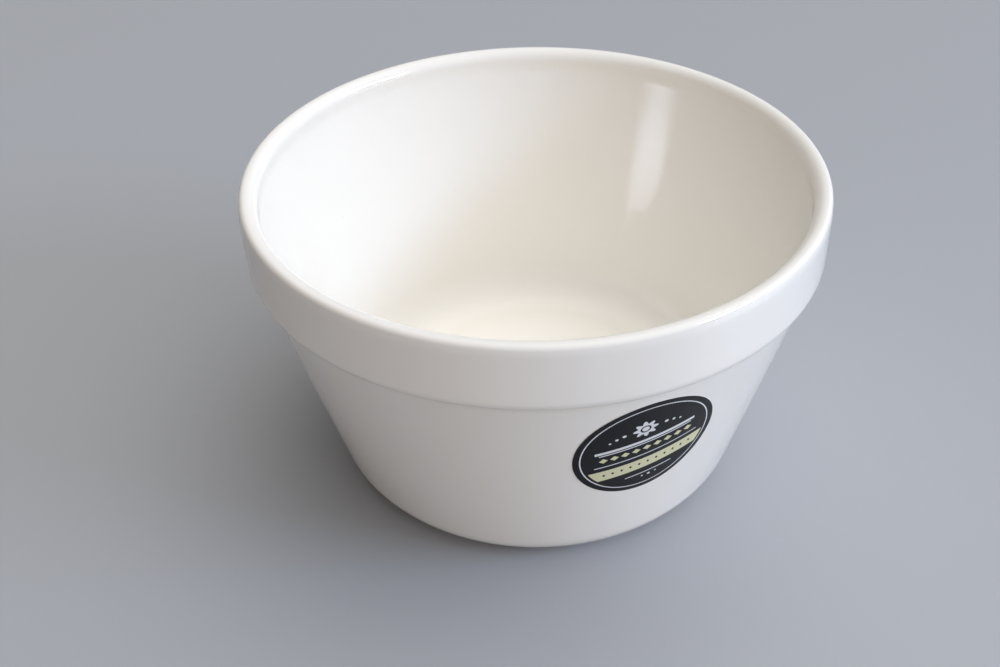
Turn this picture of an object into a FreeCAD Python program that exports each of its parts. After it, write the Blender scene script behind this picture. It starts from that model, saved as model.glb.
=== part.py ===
import FreeCAD, Part
import math
import os

import Sketcher
from FreeCAD import Placement, Rotation, Vector

# A white glazed pudding basin and the round paper label that is stuck on its wall.
# Millimetres and degrees. +Z runs up the axis of the pot, and the origin is the centre of the
# foot on the surface that the basin stands on. The front, which the label is nearest to, faces -Y.

# Driving dimensions
SIZES = {
    # Over all
    "rim_diameter": 160.0,  # outside, across the lip
    "height": 92.0,  # from the standing surface to the top of the lip
    # Lip
    "lip_thickness": 4.8,
    "lip_inner_round": 3.2,
    "lip_flat": 0.1,  # narrow level line on top, between the two rounds
    # Collar: the thick band round the top, under which a cloth cover is tied
    "collar_height": 19.7,  # from the top of the lip down to the crease
    "collar_flare": 0.4,  # how much wider the collar is at its foot than at the lip
    "collar_overhang": 2.4,  # how far the collar stands proud of the wall
    "collar_edge_round": 3.8,
    "crease_round": 0.7,  # glaze that gathers in the corner under the collar
    # Wall
    "wall_taper": 14.7,  # degrees from upright
    "wall_thickness": 6.2,  # square to the wall
    "lower_round": 13.5,  # outside, between the wall and the foot
    "inner_land_round": 10.0,  # inside, between the upright lip and the taper
    # Foot ring
    "foot_width": 5.5,  # the level ring that touches the table
    "foot_recess_depth": 3.0,
    "foot_recess_round": 1.5,
    "foot_edge_round": 0.8,
    # Floor of the bowl
    "base_thickness": 9.0,
    "floor_round": 11.5,  # cove between the inner wall and the floor
    "floor_margin": 1.0,  # level ring between the cove and the sunk disc
    "floor_step": 0.6,  # how deep the disc is sunk
    "floor_step_width": 5.0,
    "floor_step_round": 14.0,
    # Label
    "label_diameter": 39.0,
    "label_thickness": 0.15,
    "label_drop": 23.0,  # from the crease down the wall to the label's centre
    "label_azimuth": 22.3,  # from the front towards +X
}

# Reach of the round cutter that trims the label, to both sides of the wall
CUTTER_REACH = 8.0

# Two circles this near in radius and height are the same circle
SAME_CIRCLE = 0.001

# Sketcher's names for a sketch's own origin and axes, and for the ends of a line or an arc
ORIGIN = (-1, 1)
VERTICAL_AXIS = -2
START, END = 1, 2


def make_sheet(doc):
    """One row for each driving dimension: its name, and its value with the name as alias."""
    sheet = doc.addObject("Spreadsheet::Sheet", "sizes")
    for row, (name, value) in enumerate(SIZES.items(), start=1):
        sheet.set(f"A{row}", name)
        sheet.set(f"B{row}", str(value))
        sheet.setAlias(f"B{row}", name)
    doc.recompute()
    return sheet


def derived_places(sheet):
    """Radii and heights of the section's corners, worked out from the sheet."""
    s = {name: float(sheet.get(name)) for name in SIZES}
    lean = math.tan(math.radians(s["wall_taper"]))
    wall_across = s["wall_thickness"] / math.cos(math.radians(s["wall_taper"]))
    # A round in the corner between the wall and a level face takes this share of its radius
    round_reach = math.tan(math.radians(90.0 - s["wall_taper"]) / 2.0)

    s["rim_r"] = s["rim_diameter"] / 2.0
    s["lip_inner_r"] = s["rim_r"] - s["lip_thickness"]
    s["lip_outer_round"] = s["lip_thickness"] - s["lip_inner_round"] - s["lip_flat"]
    s["collar_r"] = s["rim_r"] + s["collar_flare"]
    s["crease_r"] = s["collar_r"] - s["collar_overhang"]
    s["crease_z"] = s["height"] - s["collar_height"]
    s["foot_corner_r"] = s["crease_r"] - lean * s["crease_z"]
    s["recess_r"] = s["foot_corner_r"] - round_reach * s["lower_round"] - s["foot_width"]
    s["disc_z"] = s["foot_recess_depth"] + s["base_thickness"]
    s["floor_z"] = s["disc_z"] + s["floor_step"]
    s["floor_corner_r"] = s["crease_r"] - wall_across - lean * (s["crease_z"] - s["floor_z"])
    s["disc_edge_r"] = s["floor_corner_r"] - round_reach * s["floor_round"] - s["floor_margin"]
    s["disc_r"] = s["disc_edge_r"] - s["floor_step_width"]
    s["land_z"] = s["floor_z"] + (s["lip_inner_r"] - s["floor_corner_r"]) / lean
    return s


def section_sketch(body, name):
    """A sketch on the body's own XZ plane: x is the distance from the axis, y is the height."""
    sketch = body.newObject("Sketcher::SketchObject", name)
    plane = next(f for f in body.Origin.OriginFeatures if f.Role == "XZ_Plane")
    sketch.AttachmentSupport = [(plane, "")]
    sketch.MapMode = "FlatFace"
    return sketch


def add_line(sketch, start, end):
    return sketch.addGeometry(Part.LineSegment(Vector(*start, 0), Vector(*end, 0)), False)


def constrain(sketch, kind, *where):
    return sketch.addConstraint(Sketcher.Constraint(kind, *where))


def join_in_a_ring(sketch, edges, tangent_joints=()):
    """Joins each edge's end to the next edge's start, smoothly where the pair is in tangent_joints."""
    for this, following in zip(edges, edges[1:] + edges[:1]):
        kind = "Tangent" if (this, following) in tangent_joints else "Coincident"
        constrain(sketch, kind, this, END, following, START)


def dimension(sketch, name, kind, *where, value, formula):
    """A named dimension, whose value the sheet drives."""
    index = sketch.addConstraint(Sketcher.Constraint(kind, *where, value))
    sketch.renameConstraint(index, name)
    sketch.setExpression(f".Constraints.{name}", formula)


def turn(body, kind, name, sketch):
    """A full turn of a sketch round the pot's axis, which adds clay or cuts it away."""
    feature = body.newObject(kind, name)
    feature.Profile = sketch
    feature.ReferenceAxis = (sketch, ["V_Axis"])
    feature.Angle = 360.0
    sketch.Visibility = False
    return feature


def outside_sketch(body, s):
    """The pot's outside, as a solid to the axis: level base, tapering wall, collar and level top."""
    sketch = section_sketch(body, "OutsideSection")
    edge_round = s["collar_edge_round"]
    beside = edge_round - s["collar_overhang"]
    drop = math.sqrt(edge_round**2 - beside**2)
    round_top_z = s["crease_z"] + drop
    centre = Vector(s["collar_r"] - edge_round, round_top_z, 0)
    circle = Part.Circle(centre, Vector(0, 0, 1), edge_round)

    base = add_line(sketch, (0, 0), (s["foot_corner_r"], 0))
    wall = add_line(sketch, (s["foot_corner_r"], 0), (s["crease_r"], s["crease_z"]))
    edge = sketch.addGeometry(Part.ArcOfCircle(circle, -math.atan2(drop, beside), 0.0), False)
    face = add_line(sketch, (s["collar_r"], round_top_z), (s["rim_r"], s["height"]))
    top = add_line(sketch, (s["rim_r"], s["height"]), (0, s["height"]))
    axis = add_line(sketch, (0, s["height"]), (0, 0))

    join_in_a_ring(sketch, [base, wall, edge, face, top, axis], tangent_joints=[(edge, face)])
    constrain(sketch, "Coincident", base, START, *ORIGIN)
    constrain(sketch, "Horizontal", base)
    constrain(sketch, "Horizontal", top)
    constrain(sketch, "Vertical", axis)
    dimension(sketch, "height", "DistanceY", *ORIGIN, face, END,
              value=s["height"], formula="sizes.height")
    dimension(sketch, "rim_radius", "DistanceX", *ORIGIN, face, END,
              value=s["rim_r"], formula="sizes.rim_diameter / 2")
    dimension(sketch, "flare", "DistanceX", face, END, face, START,
              value=s["collar_flare"], formula="sizes.collar_flare")
    dimension(sketch, "overhang", "DistanceX", wall, END, face, START,
              value=s["collar_overhang"], formula="sizes.collar_overhang")
    dimension(sketch, "collar_height", "DistanceY", wall, END, face, END,
              value=s["collar_height"], formula="sizes.collar_height")
    dimension(sketch, "collar_edge", "Radius", edge,
              value=edge_round, formula="sizes.collar_edge_round")
    dimension(sketch, "wall_angle", "Angle", wall,
              value=math.radians(90.0 - s["wall_taper"]), formula="(90 - sizes.wall_taper) * 1 deg")
    return sketch


def bowl_sketch(body, s):
    """The hollow of the bowl: sunk disc, floor, wall as thick all the way down, and upright lip."""
    sketch = section_sketch(body, "BowlSection")
    corners = [
        (0, s["disc_z"]),
        (s["disc_r"], s["disc_z"]),
        (s["disc_edge_r"], s["floor_z"]),
        (s["floor_corner_r"], s["floor_z"]),
        (s["lip_inner_r"], s["land_z"]),
        (s["lip_inner_r"], s["height"]),
        (0, s["height"]),
    ]
    edges = [add_line(sketch, *ends) for ends in zip(corners, corners[1:] + corners[:1])]
    disc, riser, floor, wall, lip, top, axis = edges

    join_in_a_ring(sketch, edges)
    for level in (disc, floor, top):
        constrain(sketch, "Horizontal", level)
    constrain(sketch, "Vertical", lip)
    constrain(sketch, "PointOnObject", axis, START, VERTICAL_AXIS)
    constrain(sketch, "PointOnObject", axis, END, VERTICAL_AXIS)
    taper = "tan(sizes.wall_taper * 1 deg)"
    corner = ("sizes.rim_diameter / 2 + sizes.collar_flare - sizes.collar_overhang"
              " - sizes.wall_thickness / cos(sizes.wall_taper * 1 deg)"
              " - (sizes.height - sizes.collar_height - sizes.foot_recess_depth"
              f" - sizes.base_thickness - sizes.floor_step) * {taper}")
    dimension(sketch, "disc_height", "DistanceY", *ORIGIN, disc, START,
              value=s["disc_z"], formula="sizes.foot_recess_depth + sizes.base_thickness")
    dimension(sketch, "step", "DistanceY", riser, START, riser, END,
              value=s["floor_step"], formula="sizes.floor_step")
    dimension(sketch, "step_width", "DistanceX", riser, START, riser, END,
              value=s["floor_step_width"], formula="sizes.floor_step_width")
    dimension(sketch, "floor_ring", "DistanceX", floor, START, floor, END,
              value=s["floor_corner_r"] - s["disc_edge_r"],
              formula="sizes.floor_round * tan((90 - sizes.wall_taper) / 2 * 1 deg)"
                      " + sizes.floor_margin")
    dimension(sketch, "floor_corner", "DistanceX", *ORIGIN, floor, END,
              value=s["floor_corner_r"], formula=corner)
    dimension(sketch, "wall_angle", "Angle", wall,
              value=math.radians(90.0 - s["wall_taper"]), formula="(90 - sizes.wall_taper) * 1 deg")
    dimension(sketch, "lip_radius", "DistanceX", *ORIGIN, lip, END,
              value=s["lip_inner_r"], formula="sizes.rim_diameter / 2 - sizes.lip_thickness")
    dimension(sketch, "height", "DistanceY", *ORIGIN, lip, END,
              value=s["height"], formula="sizes.height")
    return sketch


def foot_sketch(body, s):
    """The shallow recess that leaves a ring for the basin to stand on."""
    sketch = section_sketch(body, "FootSection")
    corners = [(0, 0), (s["recess_r"], 0), (s["recess_r"], s["foot_recess_depth"]),
               (0, s["foot_recess_depth"])]
    edges = [add_line(sketch, *ends) for ends in zip(corners, corners[1:] + corners[:1])]
    under, side, ceiling, axis = edges

    join_in_a_ring(sketch, edges)
    constrain(sketch, "Coincident", under, START, *ORIGIN)
    constrain(sketch, "Horizontal", under)
    constrain(sketch, "Horizontal", ceiling)
    constrain(sketch, "Vertical", side)
    constrain(sketch, "Vertical", axis)
    radius = ("sizes.rim_diameter / 2 + sizes.collar_flare - sizes.collar_overhang"
              " - (sizes.height - sizes.collar_height) * tan(sizes.wall_taper * 1 deg)"
              " - sizes.lower_round * tan((90 - sizes.wall_taper) / 2 * 1 deg) - sizes.foot_width")
    dimension(sketch, "recess_radius", "DistanceX", under, START, under, END,
              value=s["recess_r"], formula=radius)
    dimension(sketch, "recess_depth", "DistanceY", side, START, side, END,
              value=s["foot_recess_depth"], formula="sizes.foot_recess_depth")
    return sketch


def circle_names(shape, radius, height):
    """Names of the circular edges of this radius at this height round the pot's axis."""
    names = []
    for number, edge in enumerate(shape.Edges, start=1):
        curve = edge.Curve
        if not isinstance(curve, Part.Circle):
            continue
        if abs(curve.Radius - radius) < SAME_CIRCLE and abs(curve.Center.z - height) < SAME_CIRCLE:
            names.append(f"Edge{number}")
    return names


def soften(body, name, radius, height, formula):
    """A round on the circular edge at this radius and height."""
    before = body.Tip
    names = circle_names(before.Shape, radius, height)
    if not names:
        raise RuntimeError(f"{name}: no edge of radius {radius:.3f} at height {height:.3f}")
    fillet = body.newObject("PartDesign::Fillet", name)
    fillet.Base = (before, names)
    fillet.setExpression("Radius", formula)
    body.Document.recompute()
    return fillet


def make_basin(doc, s):
    """The pot: a turned solid, hollowed, with its foot cut in and its edges softened."""
    body = doc.addObject("PartDesign::Body", "Basin")
    body.Label = "basin"
    turn(body, "PartDesign::Revolution", "Outside", outside_sketch(body, s))
    doc.recompute()
    solid = body.Shape.Volume
    turn(body, "PartDesign::Groove", "Bowl", bowl_sketch(body, s))
    doc.recompute()
    hollow = body.Shape.Volume
    turn(body, "PartDesign::Groove", "FootRecess", foot_sketch(body, s))
    doc.recompute()
    recessed = body.Shape.Volume
    if not recessed < hollow < solid:
        raise RuntimeError("a cut took no clay away")

    lip_outer_round = "sizes.lip_thickness - sizes.lip_inner_round - sizes.lip_flat"
    soften(body, "LowerRound", s["foot_corner_r"], 0.0, "sizes.lower_round")
    soften(body, "Cove", s["floor_corner_r"], s["floor_z"], "sizes.floor_round")
    soften(body, "StepTop", s["disc_edge_r"], s["floor_z"], "sizes.floor_step_round")
    soften(body, "StepFoot", s["disc_r"], s["disc_z"], "sizes.floor_step_round")
    soften(body, "InnerLand", s["lip_inner_r"], s["land_z"], "sizes.inner_land_round")
    soften(body, "LipOutside", s["rim_r"], s["height"], lip_outer_round)
    soften(body, "LipInside", s["lip_inner_r"], s["height"], "sizes.lip_inner_round")
    soften(body, "Crease", s["crease_r"], s["crease_z"], "sizes.crease_round")
    soften(body, "RecessCorner", s["recess_r"], s["foot_recess_depth"], "sizes.foot_recess_round")
    soften(body, "FootEdge", s["recess_r"], 0.0, "sizes.foot_edge_round")
    body.Placement = Placement()
    return body


def wall_cone(doc, name, proud):
    """A cone from the standing surface to the crease, proud of the outside of the wall by a formula."""
    cone = doc.addObject("Part::Cone", name)
    crease = "sizes.rim_diameter / 2 + sizes.collar_flare - sizes.collar_overhang"
    crease_height = "(sizes.height - sizes.collar_height)"
    taper = "(sizes.wall_taper * 1 deg)"
    across = f"{proud} / cos{taper}"
    cone.setExpression("Radius2", f"{crease} + {across}")
    cone.setExpression("Radius1", f"{crease} + {across} - {crease_height} * tan{taper}")
    cone.setExpression("Height", crease_height)
    return cone


def make_label(doc, s):
    """The label: a skin on the wall's cone, trimmed by a round cutter that is square to the wall."""
    skin = doc.addObject("Part::Cut", "LabelSkin")
    skin.Base = wall_cone(doc, "LabelFace", "sizes.label_thickness")
    skin.Tool = wall_cone(doc, "LabelBack", "0")

    cutter = doc.addObject("Part::Cylinder", "LabelCutter")
    cutter.setExpression("Radius", "sizes.label_diameter / 2")
    cutter.Height = 2.0 * CUTTER_REACH
    taper = math.radians(s["wall_taper"])
    centre = Vector(s["crease_r"] - s["label_drop"] * math.sin(taper), 0,
                    s["crease_z"] - s["label_drop"] * math.cos(taper))
    outward = Vector(math.cos(taper), 0, -math.sin(taper))
    cutter.Placement = Placement(centre - outward * CUTTER_REACH, Rotation(Vector(0, 0, 1), outward))

    label = doc.addObject("Part::Common", "Label")
    label.Label = "label"
    label.Base = skin
    label.Tool = cutter
    doc.recompute()
    # The label is cut on the +X side, and turned to its place right of the front, which is -Y
    label.Placement = Placement(Vector(), Rotation(Vector(0, 0, 1), s["label_azimuth"] - 90.0))
    return label


def check(doc, pieces):
    """Stops the build if any object failed or any piece is not one sound solid."""
    for thing in doc.Objects:
        if "Invalid" in thing.State or "Error" in thing.State:
            raise RuntimeError(f"{thing.Name} failed: {thing.State}")
    for piece in pieces:
        shape = piece.Shape
        if shape.isNull() or not shape.isValid() or len(shape.Solids) != 1:
            raise RuntimeError(f"{piece.Label} is not one sound solid")


def main():
    os.makedirs("parts", exist_ok=True)
    doc = FreeCAD.newDocument("pudding_basin")
    sheet = make_sheet(doc)
    s = derived_places(sheet)
    pieces = [make_basin(doc, s), make_label(doc, s)]
    doc.recompute()
    check(doc, pieces)
    for piece in pieces:
        piece.Shape.exportStep(f"parts/{piece.Label}.step")
        print(f"{piece.Label}: {piece.Shape.Volume / 1000.0:.2f} cm3, {len(piece.Shape.Faces)} faces")


main()
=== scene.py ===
# %% [markdown]
# # A white glazed pudding basin
#
# A pudding basin is a pot for steaming: a thick collar round the top, under which a cloth is tied, a
# wall that tapers so that the pudding slides out, and a flat foot. It is turned in one piece from pale
# clay, dipped in a thick white glaze and fired. This lesson dresses its solid model. We turn a fine
# mesh from the same section with a softer lip, wrap a thin paper label on the wall, and give each a
# surface.
#
# The finished model comes as a fixed frame, in metres, with +Z up the pot's axis. We load it first, and
# keep the box that it fills, because nothing that we add may be bigger.

# %% The frame
import math

import bmesh
import bpy
from mathutils import Matrix, Vector, noise


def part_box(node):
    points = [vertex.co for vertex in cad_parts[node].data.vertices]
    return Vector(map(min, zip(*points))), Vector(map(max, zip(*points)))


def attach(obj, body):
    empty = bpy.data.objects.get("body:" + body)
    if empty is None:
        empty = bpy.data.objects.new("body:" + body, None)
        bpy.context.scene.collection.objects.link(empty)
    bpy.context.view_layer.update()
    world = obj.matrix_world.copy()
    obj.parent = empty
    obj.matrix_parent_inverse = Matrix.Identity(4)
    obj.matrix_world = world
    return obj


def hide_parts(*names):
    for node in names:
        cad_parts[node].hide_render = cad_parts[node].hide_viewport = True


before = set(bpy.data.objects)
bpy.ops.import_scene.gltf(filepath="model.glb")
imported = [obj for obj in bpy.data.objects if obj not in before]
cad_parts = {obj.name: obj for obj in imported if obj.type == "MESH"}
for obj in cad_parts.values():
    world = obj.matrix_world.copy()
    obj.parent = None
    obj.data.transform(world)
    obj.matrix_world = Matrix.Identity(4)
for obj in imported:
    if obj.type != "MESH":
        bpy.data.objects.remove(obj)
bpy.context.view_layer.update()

MM = 0.001
CM3 = 1e-6
basin_low, basin_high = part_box("basin")
print("solids:", ", ".join(sorted(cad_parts)))
print("basin across and up, mm:", round((basin_high.x - basin_low.x) / MM, 2), round(basin_high.z / MM, 2))

# %% [markdown]
# ## The section of the pot
#
# A turned form is known by half of its section. Ours is a ring of corners, each with the radius of the
# round that softens it. We could model the pot by stacking cylinders or by sculpting, but a potter's
# template is a section too, so the same few sizes give the true curve of the lip, the collar and the
# cove inside. What can be worked out from other sizes, such as the corner where the wall would reach
# the table, is worked out here and not typed. The solid's lip has one plain round on its outer edge.
# Ours leans in first, because glaze draws thin over an edge and leaves a soft shoulder there.

# %% Sizes of the section
HEIGHT = basin_high.z
COLLAR_R = basin_high.x
RIM_R = COLLAR_R - 0.1 * MM
LIP_THICKNESS = 5.1 * MM
LIP_OUTER_ROUND = 1.5 * MM
LIP_INNER_ROUND = 3.2 * MM
SHOULDER_DROP = 2.4 * MM
SHOULDER_LEAN = 0.5 * MM
SHOULDER_ROUND = 8.0 * MM
COLLAR_HEIGHT = 19.7 * MM
COLLAR_OVERHANG = 2.4 * MM
COLLAR_UNDER_SLOPE = math.radians(26.3)
COLLAR_EDGE_ROUND = 3.75 * MM
CREASE_ROUND = 0.7 * MM
WALL_TAPER = math.radians(14.7)
WALL_THICKNESS = 6.2 * MM
LOWER_ROUND = 13.5 * MM
LAND_ROUND = 10.0 * MM
FOOT_WIDTH = 5.5 * MM
RECESS_DEPTH = 3.0 * MM
RECESS_ROUND = 1.5 * MM
FOOT_EDGE_ROUND = 0.8 * MM
BASE_THICKNESS = 9.0 * MM
COVE_ROUND = 11.5 * MM
FLOOR_MARGIN = 1.0 * MM
STEP_DEPTH = 0.6 * MM
STEP_WIDTH = 5.0 * MM
STEP_ROUND = 14.0 * MM

lean = math.tan(WALL_TAPER)
round_reach = math.tan((math.pi / 2 - WALL_TAPER) / 2)
crease_z = HEIGHT - COLLAR_HEIGHT
crease_r = COLLAR_R - COLLAR_OVERHANG
collar_edge_z = crease_z + COLLAR_OVERHANG * math.tan(COLLAR_UNDER_SLOPE)
foot_corner_r = crease_r - lean * crease_z
recess_r = foot_corner_r - round_reach * LOWER_ROUND - FOOT_WIDTH
disc_z = RECESS_DEPTH + BASE_THICKNESS
floor_z = disc_z + STEP_DEPTH
floor_corner_r = crease_r - WALL_THICKNESS / math.cos(WALL_TAPER) - lean * (crease_z - floor_z)
disc_edge_r = floor_corner_r - round_reach * COVE_ROUND - FLOOR_MARGIN
disc_r = disc_edge_r - STEP_WIDTH
lip_inner_r = RIM_R - LIP_THICKNESS
land_z = floor_z + (lip_inner_r - floor_corner_r) / lean

# Radius, height and round of each corner, from the middle of the underside, up the outside, over the
# lip and down to the middle of the bowl
BASIN_CORNERS = [
    (0, RECESS_DEPTH, 0),
    (recess_r, RECESS_DEPTH, RECESS_ROUND),
    (recess_r, 0, FOOT_EDGE_ROUND),
    (foot_corner_r, 0, LOWER_ROUND),
    (crease_r, crease_z, CREASE_ROUND),
    (COLLAR_R, collar_edge_z, COLLAR_EDGE_ROUND),
    (RIM_R, HEIGHT - SHOULDER_DROP, SHOULDER_ROUND),
    (RIM_R - SHOULDER_LEAN, HEIGHT, LIP_OUTER_ROUND),
    (lip_inner_r, HEIGHT, LIP_INNER_ROUND),
    (lip_inner_r, land_z, LAND_ROUND),
    (floor_corner_r, floor_z, COVE_ROUND),
    (disc_edge_r, floor_z, STEP_ROUND),
    (disc_r, disc_z, STEP_ROUND),
    (0, disc_z, 0),
]
print("corners in the section:", len(BASIN_CORNERS))

# %% [markdown]
# ## Drawing a section as a wire
#
# The wire starts as one vertex. To make a straight run we extrude that vertex to where the run ends,
# and to make a round we spin it about the round's centre, which leaves a true arc behind it. Bevelling
# sharp corners afterwards would be shorter, but a bevel of a corner that isn't square gives a stretched
# curve, and on a glossy pot the eye reads every curve in the reflections.

# %% Runs and rounds
DEGREES_PER_FACET = 5.0
FEWEST_FACETS = 3


def run_to(bm, tip, place):
    """Extrudes the wire's last vertex to a place, and returns the new last vertex."""
    made = bmesh.ops.extrude_vert_indiv(bm, verts=[tip])["verts"][0]
    made.co = place
    return made


def round_corner(bm, tip, here, before, after, radius):
    """Runs to where a corner's round starts and spins through it. The wire lies in the XZ plane."""
    arriving = (here - before).normalized()
    leaving = (after - here).normalized()
    turn = arriving.angle(leaving)
    left = 1.0 if arriving.cross(leaving).y < 0 else -1.0
    start = here - arriving * radius * math.tan(turn / 2)
    tip = run_to(bm, tip, start)
    across = Vector((-arriving.z, 0, arriving.x)) * left
    steps = max(FEWEST_FACETS, round(math.degrees(turn) / DEGREES_PER_FACET))
    made = bmesh.ops.spin(bm, geom=[tip], cent=start + across * radius, axis=(0, -1, 0),
                          dvec=(0, 0, 0), angle=turn * left, steps=steps, use_merge=False)
    return made["geom_last"][0]


def draw_section(corners):
    """A wire through the corners, with each corner's round in its place."""
    bm = bmesh.new()
    places = [Vector((radius, 0, height)) for radius, height, _ in corners]
    tip = bm.verts.new(places[0])
    for number in range(1, len(corners) - 1):
        tip = round_corner(bm, tip, places[number], places[number - 1], places[number + 1],
                           corners[number][2])
    run_to(bm, tip, places[-1])
    return bm


# %% [markdown]
# ## Turning the wire on the wheel
#
# A full spin sweeps the wire round the axis. Long runs are cut first, so that the faces stay nearly
# square: they have to follow the slight waves that we add later. The two ends of the wire lie on the
# axis, where the spin leaves a heap of vertices in one place. Merging them closes the two poles, and
# only then can the normals be made to point outwards.

# %% The wheel
MERGE_WITHIN = 0.0001 * MM


def turn_solid(corners, longest_run, steps):
    """A closed mesh of revolution from the corners of half its section."""
    bm = draw_section(corners)
    for edge in [e for e in bm.edges if e.calc_length() > longest_run]:
        bmesh.ops.subdivide_edges(bm, edges=[edge], cuts=int(edge.calc_length() / longest_run))
    bmesh.ops.spin(bm, geom=bm.verts[:] + bm.edges[:], cent=(0, 0, 0), axis=(0, 0, 1),
                   dvec=(0, 0, 0), angle=2 * math.pi, steps=steps, use_merge=True)
    bmesh.ops.remove_doubles(bm, verts=bm.verts[:], dist=MERGE_WITHIN)
    bmesh.ops.recalc_face_normals(bm, faces=bm.faces[:])
    if bm.calc_volume(signed=True) < 0:
        bmesh.ops.reverse_faces(bm, faces=bm.faces[:])
    return bm


BASIN_LONGEST_RUN = 2.4 * MM
BASIN_STEPS = 288
basin_bm = turn_solid(BASIN_CORNERS, BASIN_LONGEST_RUN, BASIN_STEPS)
print("basin: clay, cm3:", round(basin_bm.calc_volume() / CM3, 1), " faces:", len(basin_bm.faces))

# %% [markdown]
# ## Glaze is never quite level
#
# Glaze is a glass that ran a little before it set, and under it the clay keeps faint rings from the
# wheel. A perfect surface of revolution looks like plastic, because its highlights have ruler-straight
# edges. We sink each vertex into the clay by a few hundredths of a millimetre, by smooth noise. Sinking
# and never raising keeps the pot inside its solid model's box. The label is moved by the same function
# later on, so that it stays on the wall.

# %% Waves and rings
SWELL_DEPTH = 0.045 * MM
SWELL_LENGTH = 17.0 * MM
RING_DEPTH = 0.012 * MM
RING_PITCH = 3.1 * MM
# The way round the pot over which a ring fades and deepens
RING_DRIFT = 136.0 * MM


def sink(place):
    """How deep the surface lies under the ideal one at a place."""
    swell = 0.5 + 0.5 * noise.noise(place / SWELL_LENGTH)
    ring = 0.5 + 0.5 * noise.noise(Vector((place.x / RING_DRIFT, place.y / RING_DRIFT,
                                           place.z / RING_PITCH)))
    return SWELL_DEPTH * swell + RING_DEPTH * ring


def settle(bm):
    """Sinks every vertex of a mesh by the depth at its place, and returns the greatest depth."""
    bm.normal_update()
    depths = [(vertex, sink(vertex.co)) for vertex in bm.verts]
    for vertex, depth in depths:
        vertex.co -= vertex.normal * depth
    return max(depth for _, depth in depths)


print("deepest wave, mm:", round(settle(basin_bm) / MM, 3))

# %% [markdown]
# ## From bmesh to a piece
#
# Both pieces end the same way: smooth faces, an object at the origin with its place in its mesh, a ride
# on the solid model's body, and the solid that it stands for.

# %% Finishing a piece
def finish_piece(bm, name, node):
    """Makes an object of a mesh that replaces a node of the solid model."""
    for face in bm.faces:
        face.smooth = True
    mesh = bpy.data.meshes.new(name)
    bm.to_mesh(mesh)
    bm.free()
    piece = bpy.data.objects.new(name, mesh)
    bpy.context.scene.collection.objects.link(piece)
    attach(piece, "root")
    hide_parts(node)
    print(name, "faces:", len(mesh.polygons))
    return piece


basin = finish_piece(basin_bm, "glazed_basin", "basin")

# %% [markdown]
# ## The label
#
# The label is a disc of coated paper, 0.15 mm thick. Paper bends but doesn't stretch, so we first make
# it flat, on the same wheel as the pot, and then wrap it. A cone unrolls to a flat fan, so each point
# of the disc keeps its distance from the cone's tip, and its angle in the fan becomes a wider angle
# round the pot. A Shrinkwrap modifier would stretch the print towards the sides instead.
#
# Before the wrap, each corner's place on the flat disc goes into a UV map. The print is drawn on that
# map, in the same way as it is printed on flat stock before the label is cut.

# %% Sizes of the label
LABEL_R = 19.5 * MM
LABEL_THICKNESS = 0.15 * MM
LABEL_EDGE_ROUND = 0.05 * MM
LABEL_DROP = 23.0 * MM
LABEL_AZIMUTH = math.radians(22.3)
LABEL_CORNERS = [
    (0, 0, 0),
    (LABEL_R, 0, LABEL_EDGE_ROUND),
    (LABEL_R, LABEL_THICKNESS, LABEL_EDGE_ROUND),
    (0, LABEL_THICKNESS, 0),
]
LABEL_LONGEST_RUN = 0.75 * MM
LABEL_STEPS = 144
label_bm = turn_solid(LABEL_CORNERS, LABEL_LONGEST_RUN, LABEL_STEPS)
print("label: paper, cm3:", round(label_bm.calc_volume() / CM3, 2), " faces:", len(label_bm.faces))

# %% The flat disc as a UV map
print_map = label_bm.loops.layers.uv.new("print")
for face in label_bm.faces:
    for loop in face.loops:
        loop[print_map].uv = (loop.vert.co.xy / LABEL_R + Vector((1, 1))) / 2

# %% Wrapping it on the wall
crease_to_tip = crease_r / math.sin(WALL_TAPER)
tip_z = crease_z - crease_to_tip * math.cos(WALL_TAPER)
label_to_tip = crease_to_tip - LABEL_DROP


def wrap(flat):
    """A place on the flat label, with z its height off the wall, taken to its place on the pot."""
    along = math.hypot(flat.x, label_to_tip + flat.y)
    fan_angle = math.atan2(flat.x, label_to_tip + flat.y)
    azimuth = LABEL_AZIMUTH + fan_angle / math.sin(WALL_TAPER)
    radius = along * math.sin(WALL_TAPER) + flat.z * math.cos(WALL_TAPER)
    height = tip_z + along * math.cos(WALL_TAPER) - flat.z * math.sin(WALL_TAPER)
    return Vector((radius * math.sin(azimuth), -radius * math.cos(azimuth), height))


def wall_normal(place):
    """The outward direction of the wall beside a place."""
    outward = Vector((place.x, place.y, 0)).normalized()
    return outward * math.cos(WALL_TAPER) - Vector((0, 0, math.sin(WALL_TAPER)))


for vertex in label_bm.verts:
    vertex.co = wrap(vertex.co)
    vertex.co -= wall_normal(vertex.co) * sink(vertex.co)
label = finish_piece(label_bm, "paper_label", "label")
label_low, label_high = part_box("label")
print("label solid, mm:", [round(c / MM, 2) for c in (*label_low, *label_high)])

# %% [markdown]
# ## Shader maths as expressions
#
# A pattern is easier to read as a sum than as a web of boxes. The class below wraps one socket. When
# Python meets an operator between wrapped sockets or numbers, it adds the Math node for it and wraps
# that node's result, so `1 - mask` builds what it says. Every other kind of node comes from one method.

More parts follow.
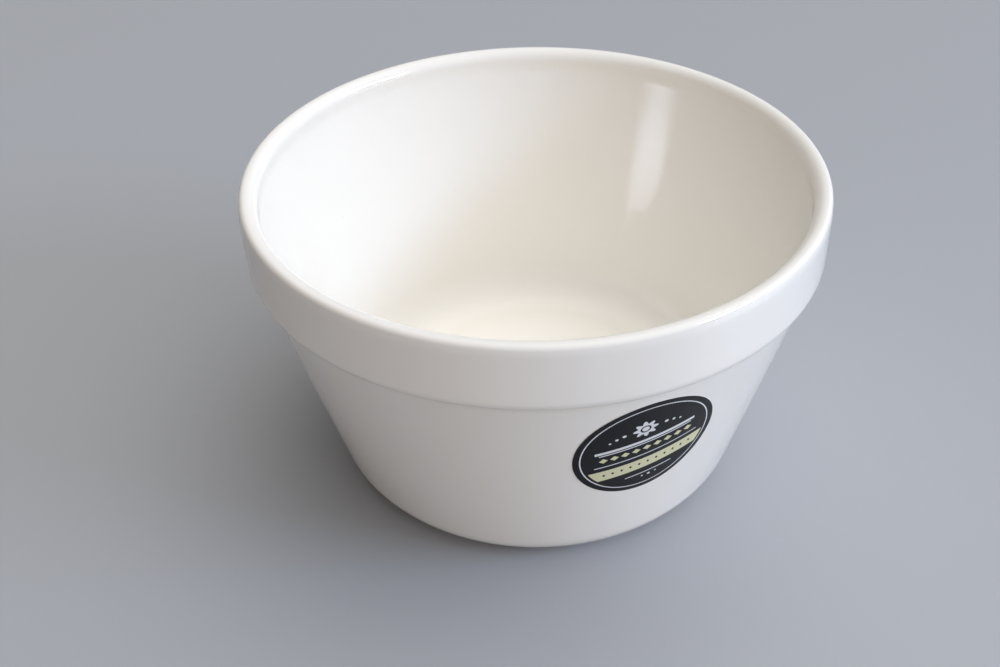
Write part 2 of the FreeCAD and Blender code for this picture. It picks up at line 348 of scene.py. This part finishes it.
# %% A socket that can be added and multiplied
class Value:
    """A number on its way through a shader."""

    def __init__(self, shader, socket):
        self.shader = shader
        self.socket = socket

    def maths(self, operation, *terms):
        return self.shader.node("ShaderNodeMath", {"operation": operation}, dict(enumerate(terms)))

    def __add__(self, other):
        return self.maths("ADD", self, other)

    def __sub__(self, other):
        return self.maths("SUBTRACT", self, other)

    def __rsub__(self, other):
        return self.maths("SUBTRACT", other, self)

    def __mul__(self, other):
        return self.maths("MULTIPLY", self, other)

    def __truediv__(self, other):
        return self.maths("DIVIDE", self, other)

    def __pow__(self, other):
        return self.maths("POWER", self, other)

    def __lt__(self, other):
        return self.maths("LESS_THAN", self, other)

    def __gt__(self, other):
        return self.maths("GREATER_THAN", self, other)

    def __abs__(self):
        return self.maths("ABSOLUTE", self)

    __radd__ = __add__
    __rmul__ = __mul__


# %% A material and its nodes
MIX_FACTOR, MIX_A, MIX_B, MIX_RESULT = 0, 6, 7, 2


class Shader:
    """The nodes of a material or of the world, with the shader node that they feed."""

    def __init__(self, owner, surface="Principled BSDF"):
        owner.use_nodes = True
        self.owner = owner
        self.tree = owner.node_tree
        self.surface = self.tree.nodes[surface]

    def feed(self, socket, value):
        """Links a wrapped socket, or sets a plain value."""
        if isinstance(value, Value):
            self.tree.links.new(value.socket, socket)
        else:
            socket.default_value = value

    def node(self, kind, settings, inputs, outputs=0):
        """Adds a node: its settings first, then its inputs. Returns one output, or a list of them."""
        made = self.tree.nodes.new(kind)
        for name, value in settings.items():
            setattr(made, name, value)
        for name, value in inputs.items():
            self.feed(made.inputs[name], value)
        if isinstance(outputs, tuple):
            return [Value(self, made.outputs[name]) for name in outputs]
        return Value(self, made.outputs[outputs])

    def blend(self, factor, first, second):
        """A colour between two colours."""
        return self.node("ShaderNodeMix", {"data_type": "RGBA"},
                         {MIX_FACTOR: factor, MIX_A: first, MIX_B: second}, MIX_RESULT)

    def fade(self, value, start, end):
        """1 where a value is at start, 0 where it is at end, and a soft step between them."""
        return self.node("ShaderNodeMapRange", {"interpolation_type": "SMOOTHSTEP"},
                         {"Value": value, "From Min": start, "From Max": end,
                          "To Min": 1.0, "To Max": 0.0})

    def noise(self, place, length, detail=2.0):
        """Smooth noise from 0 to 1 with waves of about this length."""
        return self.node("ShaderNodeTexNoise", {},
                         {"Vector": place, "Scale": 1.0 / length, "Detail": detail}, "Fac")

    def set(self, **inputs):
        """Feeds the surface shader. Blanks in a socket's name are written as underscores."""
        for name, value in inputs.items():
            self.feed(self.surface.inputs[name.replace("_", " ")], value)


floor_shader = Shader(bpy.data.materials.new("floor_paint"))
print("a new material starts with:", ", ".join(node.name for node in floor_shader.tree.nodes))

# %% [markdown]
# ## The glaze
#
# The glaze is a soft cream white. Its colour isn't even: it is a little deeper where it gathers, in the
# crease under the collar and in the ring round the sunk disc, and it has a few buff specks from iron in
# the clay. It is glossy, but a long-wave unevenness, called orange peel, breaks the reflections up.
# Photographed paint textures could give this. We use noise in the object's own coordinates, because it
# has no seams and stays sharp at any distance.
#
# Under the foot the glaze was wiped away, so that the pot wouldn't stick to the kiln's shelf. There the
# dry clay shows: buff, rough and grainy. The border follows a height, made uneven by noise.

# %% Colours and scales of the glaze
GLAZE = (0.925, 0.89, 0.825, 1.0)
GLAZE_THICK = (0.89, 0.845, 0.765, 1.0)
GLAZE_THIN = (0.935, 0.905, 0.845, 1.0)
SPECK = (0.80, 0.73, 0.61, 1.0)
BISCUIT = (0.66, 0.55, 0.40, 1.0)
CREASE_GATHER = 2.2 * MM
STEP_GATHER = 5.0 * MM
STEP_GATHER_SHARE = 0.35
CLOUD_LENGTH = 28.0 * MM
SPECK_SPACING = 17.0 * MM
SPECK_R = 0.30 * MM
SPECK_CORE_R = 0.09 * MM
GLAZE_IOR = 1.6
GLAZE_ROUGHNESS = 0.07
CLOUD_ROUGHNESS = 0.05
PEEL_LENGTH = 3.4 * MM
PEEL_HEIGHT = 0.0045 * MM
DRY_HEIGHT = 0.42 * MM
DRY_EDGE_RISE = 0.3 * MM
DRY_EDGE_LENGTH = 6.0 * MM
DRY_ROUGHNESS = 0.75
GRAIN_LENGTH = 0.35 * MM
GRAIN_HEIGHT = 0.03 * MM


# %% The glaze's nodes
def gather(shader, radius, height, at_r, at_z, reach):
    """A soft ring round the pot: 1 on the circle at this radius and height, 0 beyond its reach."""
    away = ((radius - at_r) ** 2 + (height - at_z) ** 2) ** 0.5
    return shader.fade(away, 0.0, reach)


def glaze_material():
    shader = Shader(bpy.data.materials.new("cream_white_glaze"))
    place = shader.node("ShaderNodeTexCoord", {}, {}, "Object")
    x, y, z = shader.node("ShaderNodeSeparateXYZ", {}, {"Vector": place}, ("X", "Y", "Z"))
    radius = (x * x + y * y) ** 0.5

    clouds = shader.noise(place, CLOUD_LENGTH)
    colour = shader.blend(clouds, GLAZE, GLAZE_THIN)
    thick = gather(shader, radius, z, crease_r, crease_z, CREASE_GATHER)
    thick = thick + STEP_GATHER_SHARE * gather(shader, radius, z, disc_r, disc_z, STEP_GATHER)
    colour = shader.blend(thick, colour, GLAZE_THICK)

    to_speck = shader.node("ShaderNodeTexVoronoi", {}, {"Vector": place, "Scale": 1 / SPECK_SPACING},
                           "Distance") * SPECK_SPACING
    speck = shader.fade(to_speck, SPECK_CORE_R, SPECK_R)
    colour = shader.blend(speck, colour, SPECK)

    ragged = shader.noise(place, DRY_EDGE_LENGTH) * DRY_EDGE_RISE
    dry = (z + ragged < DRY_HEIGHT) * (radius > recess_r + FOOT_EDGE_ROUND / 2)
    colour = shader.blend(dry, colour, BISCUIT)

    peel = shader.noise(place, PEEL_LENGTH) * PEEL_HEIGHT
    grain = shader.noise(place, GRAIN_LENGTH) * GRAIN_HEIGHT
    surface = shader.node("ShaderNodeBump", {},
                          {"Strength": 1.0, "Distance": 1.0, "Height": peel + dry * grain})
    roughness = GLAZE_ROUGHNESS + clouds * CLOUD_ROUGHNESS + dry * DRY_ROUGHNESS
    shader.set(Base_Color=colour, Roughness=roughness, Normal=surface, IOR=GLAZE_IOR)
    return shader.owner


basin.data.materials.append(glaze_material())
print("glaze nodes:", len(basin.data.materials[0].node_tree.nodes))

# %% [markdown]
# ## The print on the label
#
# The label is black with white and cream figures. They are plain printer's ornaments: a rosette, rules
# of several weights, a row of lozenges and a cream band, inside a thin ring. The label was stuck on a
# little turned, with its right end up. A Mapping node takes the UV map to millimetres from the label's
# middle and turns it, and each figure is then a few comparisons, multiplied for "and", and added for
# "or". A picture could hold the print, but figures that are worked out stay sharp at any distance,
# and each is moved or resized by one number.

# %% Inks and figures, in millimetres from the label's middle
INK_BLACK = (0.0065, 0.0075, 0.0095, 1.0)
INK_WHITE = (0.78, 0.79, 0.80, 1.0)
INK_CREAM = (0.74, 0.72, 0.47, 1.0)
PAPER_EDGE = (0.74, 0.73, 0.70, 1.0)
CUT_EDGE = 0.02 * MM
LABEL_TURN = math.radians(12.0)
RING_R = 17.6
RING_WIDTH = 0.35
ROSETTE_MIDDLE = 9.0
ROSETTE_R = 3.4
ROSETTE_PETALS = 8
PETAL_SHARE = 0.18
EYE_SHARE = 0.36
EYE_LINE_SHARE = 0.07
BAND_MIDDLE = -7.2
BAND_HALF = 2.3
BAND_TO_RING = 0.9
# Middle, half thickness and half length of each rule
RULES = [(3.6, 0.55, 13.6), (2.4, 0.22, 12.6), (-2.9, 0.2, 14.2), (-12.2, 0.2, 6.6)]
# Place and radius of each dot, on the middle line or to the right of it
DOTS = [(5.6, 8.8, 0.55), (7.6, 8.2, 0.45), (9.4, 7.3, 0.35), (0.0, -14.0, 0.45), (1.9, -13.9, 0.3)]
# Middle, pitch, half width, half height and half length of each row of lozenges
LOZENGES = (0.0, 2.9, 1.2, 1.05, 13.05)
PIPS = (BAND_MIDDLE, 2.4, 0.42, 0.6, 13.0)
LABEL_GLOSS = 0.15
PAPER_ROUGHNESS = 0.34
FIBRE_ROUGHNESS = 0.12
FIBRE_LENGTH = 0.8 * MM
FIBRE_HEIGHT = 0.0015 * MM
COCKLE_LENGTH = 9.0 * MM
COCKLE_HEIGHT = 0.02 * MM


# %% How a figure is drawn
def rule(x, y, middle, half_thick, half_long):
    """A level bar."""
    return (abs(y - middle) < half_thick) * (abs(x) < half_long)


def dot(x, y, at_x, at_y, size):
    """A round dot, with its twin on the other side of the middle."""
    return ((abs(x) - at_x) ** 2 + (y - at_y) ** 2) < size * size


def lozenges(shader, x, y, middle, pitch, half_wide, half_high, half_long):
    """A row of lozenges, one of them on the middle line."""
    across = shader.node("ShaderNodeMath", {"operation": "PINGPONG"}, {0: x, 1: pitch / 2})
    lozenge = (across / half_wide + abs(y - middle) / half_high) < 1.0
    return lozenge * (abs(x) < half_long)


def rosette(shader, x, y, at_y, size, petals):
    """A flower of round petals about a ring and an eye."""
    up = y - at_y
    radius = (x * x + up * up) ** 0.5
    angle = shader.node("ShaderNodeMath", {"operation": "ARCTAN2"}, {0: up, 1: x})
    wave = shader.node("ShaderNodeMath", {"operation": "COSINE"}, {0: angle * petals})
    flower = radius < size * (1 - PETAL_SHARE) + wave * (PETAL_SHARE * size)
    eye_ring = abs(radius - EYE_SHARE * size) < EYE_LINE_SHARE * size
    return flower * (1 - eye_ring)


# %% The label's nodes
def print_material():
    shader = Shader(bpy.data.materials.new("printed_label"))
    flat = shader.node("ShaderNodeUVMap", {"uv_map": "print"}, {})
    across = 2 * LABEL_R / MM
    middle = Matrix.Rotation(-LABEL_TURN, 2) @ Vector((across / 2, across / 2))
    turned = shader.node("ShaderNodeMapping", {},
                         {"Vector": flat, "Scale": (across, across, 1.0),
                          "Rotation": (0.0, 0.0, -LABEL_TURN), "Location": (-middle.x, -middle.y, 0.0)})
    x, y = shader.node("ShaderNodeSeparateXYZ", {}, {"Vector": turned}, ("X", "Y"))
    radius = (x * x + y * y) ** 0.5

    ring = abs(radius - RING_R) < RING_WIDTH / 2
    white = ring + rosette(shader, x, y, ROSETTE_MIDDLE, ROSETTE_R, ROSETTE_PETALS)
    for sizes in RULES:
        white = white + rule(x, y, *sizes)
    for sizes in DOTS:
        white = white + dot(x, y, *sizes)
    band = (abs(y - BAND_MIDDLE) < BAND_HALF) * (radius < RING_R - BAND_TO_RING)
    cream = lozenges(shader, x, y, *LOZENGES) + band * (1 - lozenges(shader, x, y, *PIPS))

    colour = shader.blend(white, INK_BLACK, INK_WHITE)
    colour = shader.blend(cream, colour, INK_CREAM)
    cut_edge = radius > (LABEL_R - CUT_EDGE) / MM
    colour = shader.blend(cut_edge, colour, PAPER_EDGE)

    place = shader.node("ShaderNodeTexCoord", {}, {}, "Object")
    fibres = shader.noise(place, FIBRE_LENGTH)
    cockle = shader.noise(place, COCKLE_LENGTH)
    surface = shader.node("ShaderNodeBump", {},
                          {"Strength": 1.0, "Distance": 1.0,
                           "Height": fibres * FIBRE_HEIGHT + cockle * COCKLE_HEIGHT})
    shader.set(Base_Color=colour, Roughness=PAPER_ROUGHNESS + fibres * FIBRE_ROUGHNESS,
               Normal=surface, Specular_IOR_Level=LABEL_GLOSS)
    return shader.owner


label.data.materials.append(print_material())
print("label nodes:", len(label.data.materials[0].node_tree.nodes))

# %% [markdown]
# ## The floor
#
# The basin stands on a plain floor of pale, cool grey. A square would do in front, but a disc ends at
# the same distance on every side, and the pot is looked at from all of them.

# %% A plain floor
FLOOR = (0.39, 0.40, 0.42, 1.0)
FLOOR_R = 4.0
FLOOR_SIDES = 96
FLOOR_ROUGHNESS = 0.6

floor_bm = bmesh.new()
bmesh.ops.create_circle(floor_bm, cap_ends=True, segments=FLOOR_SIDES, radius=FLOOR_R)
floor_mesh = bpy.data.meshes.new("studio_floor")
floor_bm.to_mesh(floor_mesh)
floor_bm.free()
studio_floor = bpy.data.objects.new("studio_floor", floor_mesh)
bpy.context.scene.collection.objects.link(studio_floor)
floor_shader.set(Base_Color=FLOOR, Roughness=FLOOR_ROUGHNESS)
floor_mesh.materials.append(floor_shader.owner)
print("floor across, m:", 2 * FLOOR_R)

# %% [markdown]
# ## Light
#
# White glaze shows its form only by shading, so the light comes from the right more than from the left.
# A low lamp on the right is the window. It is so low that the right side of the lip throws a soft
# shadow across the inside of the bowl.
#
# The bright upright mark inside the back wall is a window too. The glaze mirrors it twice, first on the
# back and then on the left, and each time keeps only about a twentieth of its light. A lamp bright
# enough for that would burn out the rest, so a slim second lamp gives no diffuse light and is seen only
# where a surface mirrors it. The floor's soft sheen mirrors it too, as a wide glare that shows when the
# pot is looked at from the left or from behind.
#
# A lamp's size in metres says little. What counts is the angle that it fills as seen from the pot,
# because that sets how soft the shadows are, so a lamp is given by its direction and its two angles.
# Its strength is given by colour: with strength 1, a white surface that faces the lamp renders as 1.

# %% Lamps
AIM = Vector((0, 0, 0.05))
LAMP_AWAY = 2.0
FULL_WATTS = (math.pi * LAMP_AWAY) ** 2


def towards(azimuth, elevation):
    """The direction of a light, in degrees round from +X towards +Y, and up from level."""
    turn = math.radians(azimuth)
    up = math.radians(elevation)
    return Vector((math.cos(up) * math.cos(turn), math.cos(up) * math.sin(turn), math.sin(up)))


def add_lamp(name, azimuth, elevation, wide, high, strength, roll=0.0, lights=True):
    """A rectangular lamp that faces the pot and fills an angle of wide by high degrees."""
    data = bpy.data.lights.new(name, "AREA")
    data.shape = "RECTANGLE"
    data.size = 2 * LAMP_AWAY * math.tan(math.radians(wide / 2))
    data.size_y = 2 * LAMP_AWAY * math.tan(math.radians(high / 2))
    data.energy = FULL_WATTS * max(strength)
    data.color = [channel / max(strength) for channel in strength]
    lamp = bpy.data.objects.new(name, data)
    bpy.context.scene.collection.objects.link(lamp)
    lamp.location = AIM + towards(azimuth, elevation) * LAMP_AWAY
    lamp.rotation_euler = towards(azimuth, elevation).to_track_quat("Z", "Y").to_euler()
    lamp.rotation_euler.rotate_axis("Z", math.radians(roll))
    lamp.visible_diffuse = lights
    print(name, "watts:", round(data.energy, 1))


add_lamp("window", -15, 26, 24, 10, (0.145, 0.225, 0.36))
add_lamp("window_glint", -16, 26.3, 23, 4.7, (2.35, 2.35, 2.45), roll=5, lights=False)

# %% [markdown]
# ## The room
#
# The rest of the light comes from the room's walls. One even grey would flatten the pot, so the world
# is a sum of wide glows, each brightest in one direction. A glow is the cosine of the angle from that
# direction, raised to a power that makes it narrower. The strongest is the ceiling, behind the pot.
#
# The camera and the reflections see a plain pale backdrop in place of the glows. It is worked out from
# the kind of ray, so the pot mirrors it but isn't lit by it.

# %% Glows and backdrop
# Azimuth, elevation and power of each glow, and its colour
GLOWS = [
    (60, 72, 8, (2.80, 2.79, 2.74)),
    (-50, 50, 6, (0.79, 0.85, 0.92)),
    (-45, 22, 4, (0.59, 0.57, 0.60)),
    (10, 25, 4, (0.56, 0.54, 0.54)),
    (-90, 30, 4, (0.39, 0.28, 0.19)),
]
BACKDROP = (0.33, 0.335, 0.35, 1.0)

room = Shader(bpy.data.worlds.new("pale_room"), "Background")
bpy.context.scene.world = room.owner
direction = room.node("ShaderNodeTexCoord", {}, {}, "Generated")
fill = (0.0, 0.0, 0.0)
for azimuth, elevation, power, colour in GLOWS:
    facing = room.node("ShaderNodeVectorMath", {"operation": "DOT_PRODUCT"},
                       {0: direction, 1: towards(azimuth, elevation)}, "Value")
    glow = facing.maths("MAXIMUM", facing, 0.0) ** power
    fill = room.node("ShaderNodeVectorMath", {"operation": "MULTIPLY_ADD"}, {0: colour, 1: glow, 2: fill})
seen, mirrored, let_through = room.node("ShaderNodeLightPath", {}, {},
                                        ("Is Camera Ray", "Is Glossy Ray", "Is Transmission Ray"))
room.set(Color=room.blend(seen + mirrored + let_through, fill, BACKDROP))
print("glows in the room:", len(GLOWS))

# %% [markdown]
# ## The camera
#
# The camera looks down on the pot from the front. Its place, tilt and focal length were fitted to the
# outlines of the lip, the collar and the foot, so the ellipses open by the right amount. The pot was a
# little right of the middle of the picture, and the small shift moves it there without turning it.

# %% Camera
PICTURE_WIDTH = 1000
FOCAL_PIXELS = 1189.1
MIDDLE_RIGHT_PIXELS = 36.7
SENSOR = 36.0
CAMERA_BACK = 0.2857
CAMERA_UP = 0.2537
LOOK_DOWN = 0.6539
ROLL = 0.0069
NEAREST = 10.0 * MM

camera_data = bpy.data.cameras.new("camera")
camera_data.sensor_width = SENSOR
camera_data.lens = SENSOR * FOCAL_PIXELS / PICTURE_WIDTH
camera_data.shift_x = -MIDDLE_RIGHT_PIXELS / PICTURE_WIDTH
camera_data.clip_start = NEAREST
camera = bpy.data.objects.new("camera", camera_data)
bpy.context.scene.collection.objects.link(camera)
camera.matrix_world = (Matrix.Translation((0, -CAMERA_BACK, CAMERA_UP))
                       @ Matrix.Rotation(math.pi / 2 - LOOK_DOWN, 4, "X")
                       @ Matrix.Rotation(-ROLL, 4, "Z"))
bpy.context.scene.camera = camera
bpy.context.scene.view_settings.view_transform = "Standard"
print("lens, mm:", round(camera_data.lens, 2))
